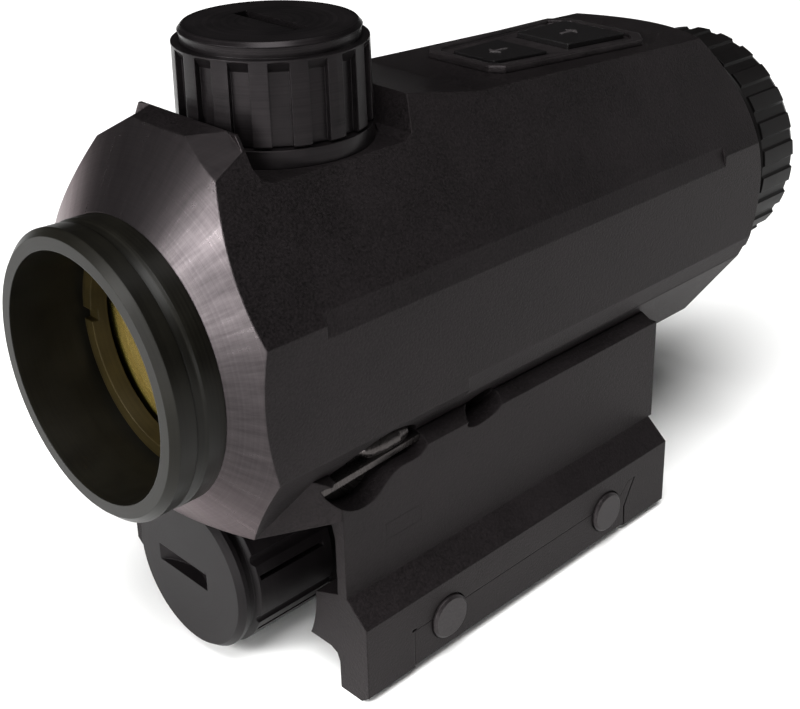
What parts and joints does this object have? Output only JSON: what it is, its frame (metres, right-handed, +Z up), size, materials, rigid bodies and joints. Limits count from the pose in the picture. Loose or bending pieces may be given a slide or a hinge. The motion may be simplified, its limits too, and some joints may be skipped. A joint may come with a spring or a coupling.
{
  "type": "compact prism sight",
  "caption": "Compact rail-mounted prism sight: faceted aluminium body, screw-capped turrets, sprung top buttons, diopter ring, coin-cell cap and cross-bolted rail clamp.",
  "frame": {"origin": "centre of the rail seat, the flat roof of the mount's slot", "axes": "+Y along the optical axis towards the eyepiece, +Z up from the rail, +X towards the clamp bar"},
  "size_m": [0.0362, 0.0753, 0.0494],
  "materials": {
    "anodised_body": "fine bead-blasted, black anodised",
    "turned_black": "turned, black anodised, satin",
    "black_steel": "black oxide",
    "coated_glass": "amber anti-reflection coating",
    "clear_glass": "polished",
    "black_rubber": "matt moulded",
    "black_plastic": "moulded",
    "emitter_lens": "clear red dome",
    "board": "solder mask",
    "brass_dial": "turned",
    "cell_can": "nickel plated",
    "gilt_contact": "spring temper"
  },
  "bodies": {
    "root": {"main_housing": "anodised_body", "mount_base": "anodised_body", "bolt_nuts": "black_steel", "mount_screws": "black_steel", "objective_hood": "turned_black", "retaining_ring": "turned_black", "objective_lens": "coated_glass", "lens_seal": "black_rubber", "prism_carrier": "turned_black", "prism_cradle": "black_plastic", "roof_prism": "clear_glass", "emitter": "emitter_lens", "circuit_board": "board", "eyepiece_barrel": "turned_black", "elevation_seat": "turned_black", "windage_seat": "turned_black", "battery_cells": "cell_can", "window_insert": "turned_black", "battery_contact": "gilt_contact", "button_bezel": "turned_black"},
    "clamp": {"clamp_bar": "anodised_body"},
    "bolt_front": {"cross_bolt_front": "black_steel"},
    "bolt_rear": {"cross_bolt_rear": "black_steel"},
    "diopter": {"diopter_ring": "turned_black"},
    "eye_cell": {"eyepiece_cell": "turned_black", "eyepiece_lens": "clear_glass"},
    "elevation_lift": {"elevation_gasket": "black_rubber"},
    "elevation_cover": {"elevation_cap": "turned_black"},
    "elevation_adjuster": {"elevation_dial": "brass_dial"},
    "windage_lift": {"windage_gasket": "black_rubber"},
    "windage_cover": {"windage_cap": "turned_black"},
    "windage_adjuster": {"windage_dial": "brass_dial"},
    "battery_lift": {"battery_seal": "black_rubber"},
    "battery_cover": {"battery_cap": "turned_black"},
    "down_key": {"button_down": "black_rubber"},
    "up_key": {"button_up": "black_rubber"}
  },
  "joints": [
    {"name": "clamp_slide", "type": "slide", "parent": "root", "child": "clamp", "axis": [1, 0, 0], "range_m": [0, 0.0014]},
    {"name": "bolt_front_turn", "type": "hinge", "parent": "clamp", "child": "bolt_front", "pos_m": [0, -0.01001, 0.0001], "axis": [-1, 0, 0], "range_deg": [0, 720.01]},
    {"name": "bolt_rear_turn", "type": "hinge", "parent": "clamp", "child": "bolt_rear", "pos_m": [0, 0.01001, 0.0001], "axis": [-1, 0, 0], "range_deg": [0, 720.01]},
    {"name": "diopter_turn", "type": "hinge", "parent": "root", "child": "diopter", "pos_m": [0, 0.041, 0.0238], "axis": [0, 1, 0], "range_deg": [-120, 120]},
    {"name": "eye_cell_slide", "type": "slide", "parent": "root", "child": "eye_cell", "axis": [0, 1, 0], "range_m": [-0.0009, 0.0009]},
    {"name": "elevation_lift_slide", "type": "slide", "parent": "root", "child": "elevation_lift", "axis": [0, 0, 1], "range_m": [0, 0.0015]},
    {"name": "elevation_cap_turn", "type": "hinge", "parent": "elevation_lift", "child": "elevation_cover", "pos_m": [0, -0.01227, 0.041], "axis": [0, 0, 1], "range_deg": [0, 720.01]},
    {"name": "elevation_dial_turn", "type": "hinge", "parent": "root", "child": "elevation_adjuster", "pos_m": [0, -0.01227, 0.037], "axis": [0, 0, 1], "range_deg": [-270, 270]},
    {"name": "windage_lift_slide", "type": "slide", "parent": "root", "child": "windage_lift", "axis": [-1, 0, 0], "range_m": [0, 0.0015]},
    {"name": "windage_cap_turn", "type": "hinge", "parent": "windage_lift", "child": "windage_cover", "pos_m": [-0.017, -0.01227, 0.0238], "axis": [-1, 0, 0], "range_deg": [0, 720.01]},
    {"name": "windage_dial_turn", "type": "hinge", "parent": "root", "child": "windage_adjuster", "pos_m": [-0.013, -0.01227, 0.0238], "axis": [-1, 0, 0], "range_deg": [-270, 270]},
    {"name": "battery_lift_slide", "type": "slide", "parent": "root", "child": "battery_lift", "axis": [0, -1, 0], "range_m": [0, 0.0015]},
    {"name": "battery_cap_turn", "type": "hinge", "parent": "battery_lift", "child": "battery_cover", "pos_m": [0, -0.021, 0.00399], "axis": [0, -1, 0], "range_deg": [0, 720.01]},
    {"name": "down_press", "type": "slide", "parent": "root", "child": "down_key", "axis": [0, 0, -1], "range_m": [0, 0.0006], "stiffness_N_per_m": 800},
    {"name": "up_press", "type": "slide", "parent": "root", "child": "up_key", "axis": [0, 0, -1], "range_m": [0, 0.0006], "stiffness_N_per_m": 800}
  ],
  "couplings": [
    {"joint": "bolt_front_turn", "follows": "clamp_slide", "rad_per_m": 8976},
    {"joint": "bolt_rear_turn", "follows": "clamp_slide", "rad_per_m": 8976},
    {"joint": "eye_cell_slide", "follows": "diopter_turn", "m_per_rad": 0.000429},
    {"joint": "elevation_cap_turn", "follows": "elevation_lift_slide", "rad_per_m": 8377.6},
    {"joint": "windage_cap_turn", "follows": "windage_lift_slide", "rad_per_m": 8377.6},
    {"joint": "battery_cap_turn", "follows": "battery_lift_slide", "rad_per_m": 8377.6}
  ]
}
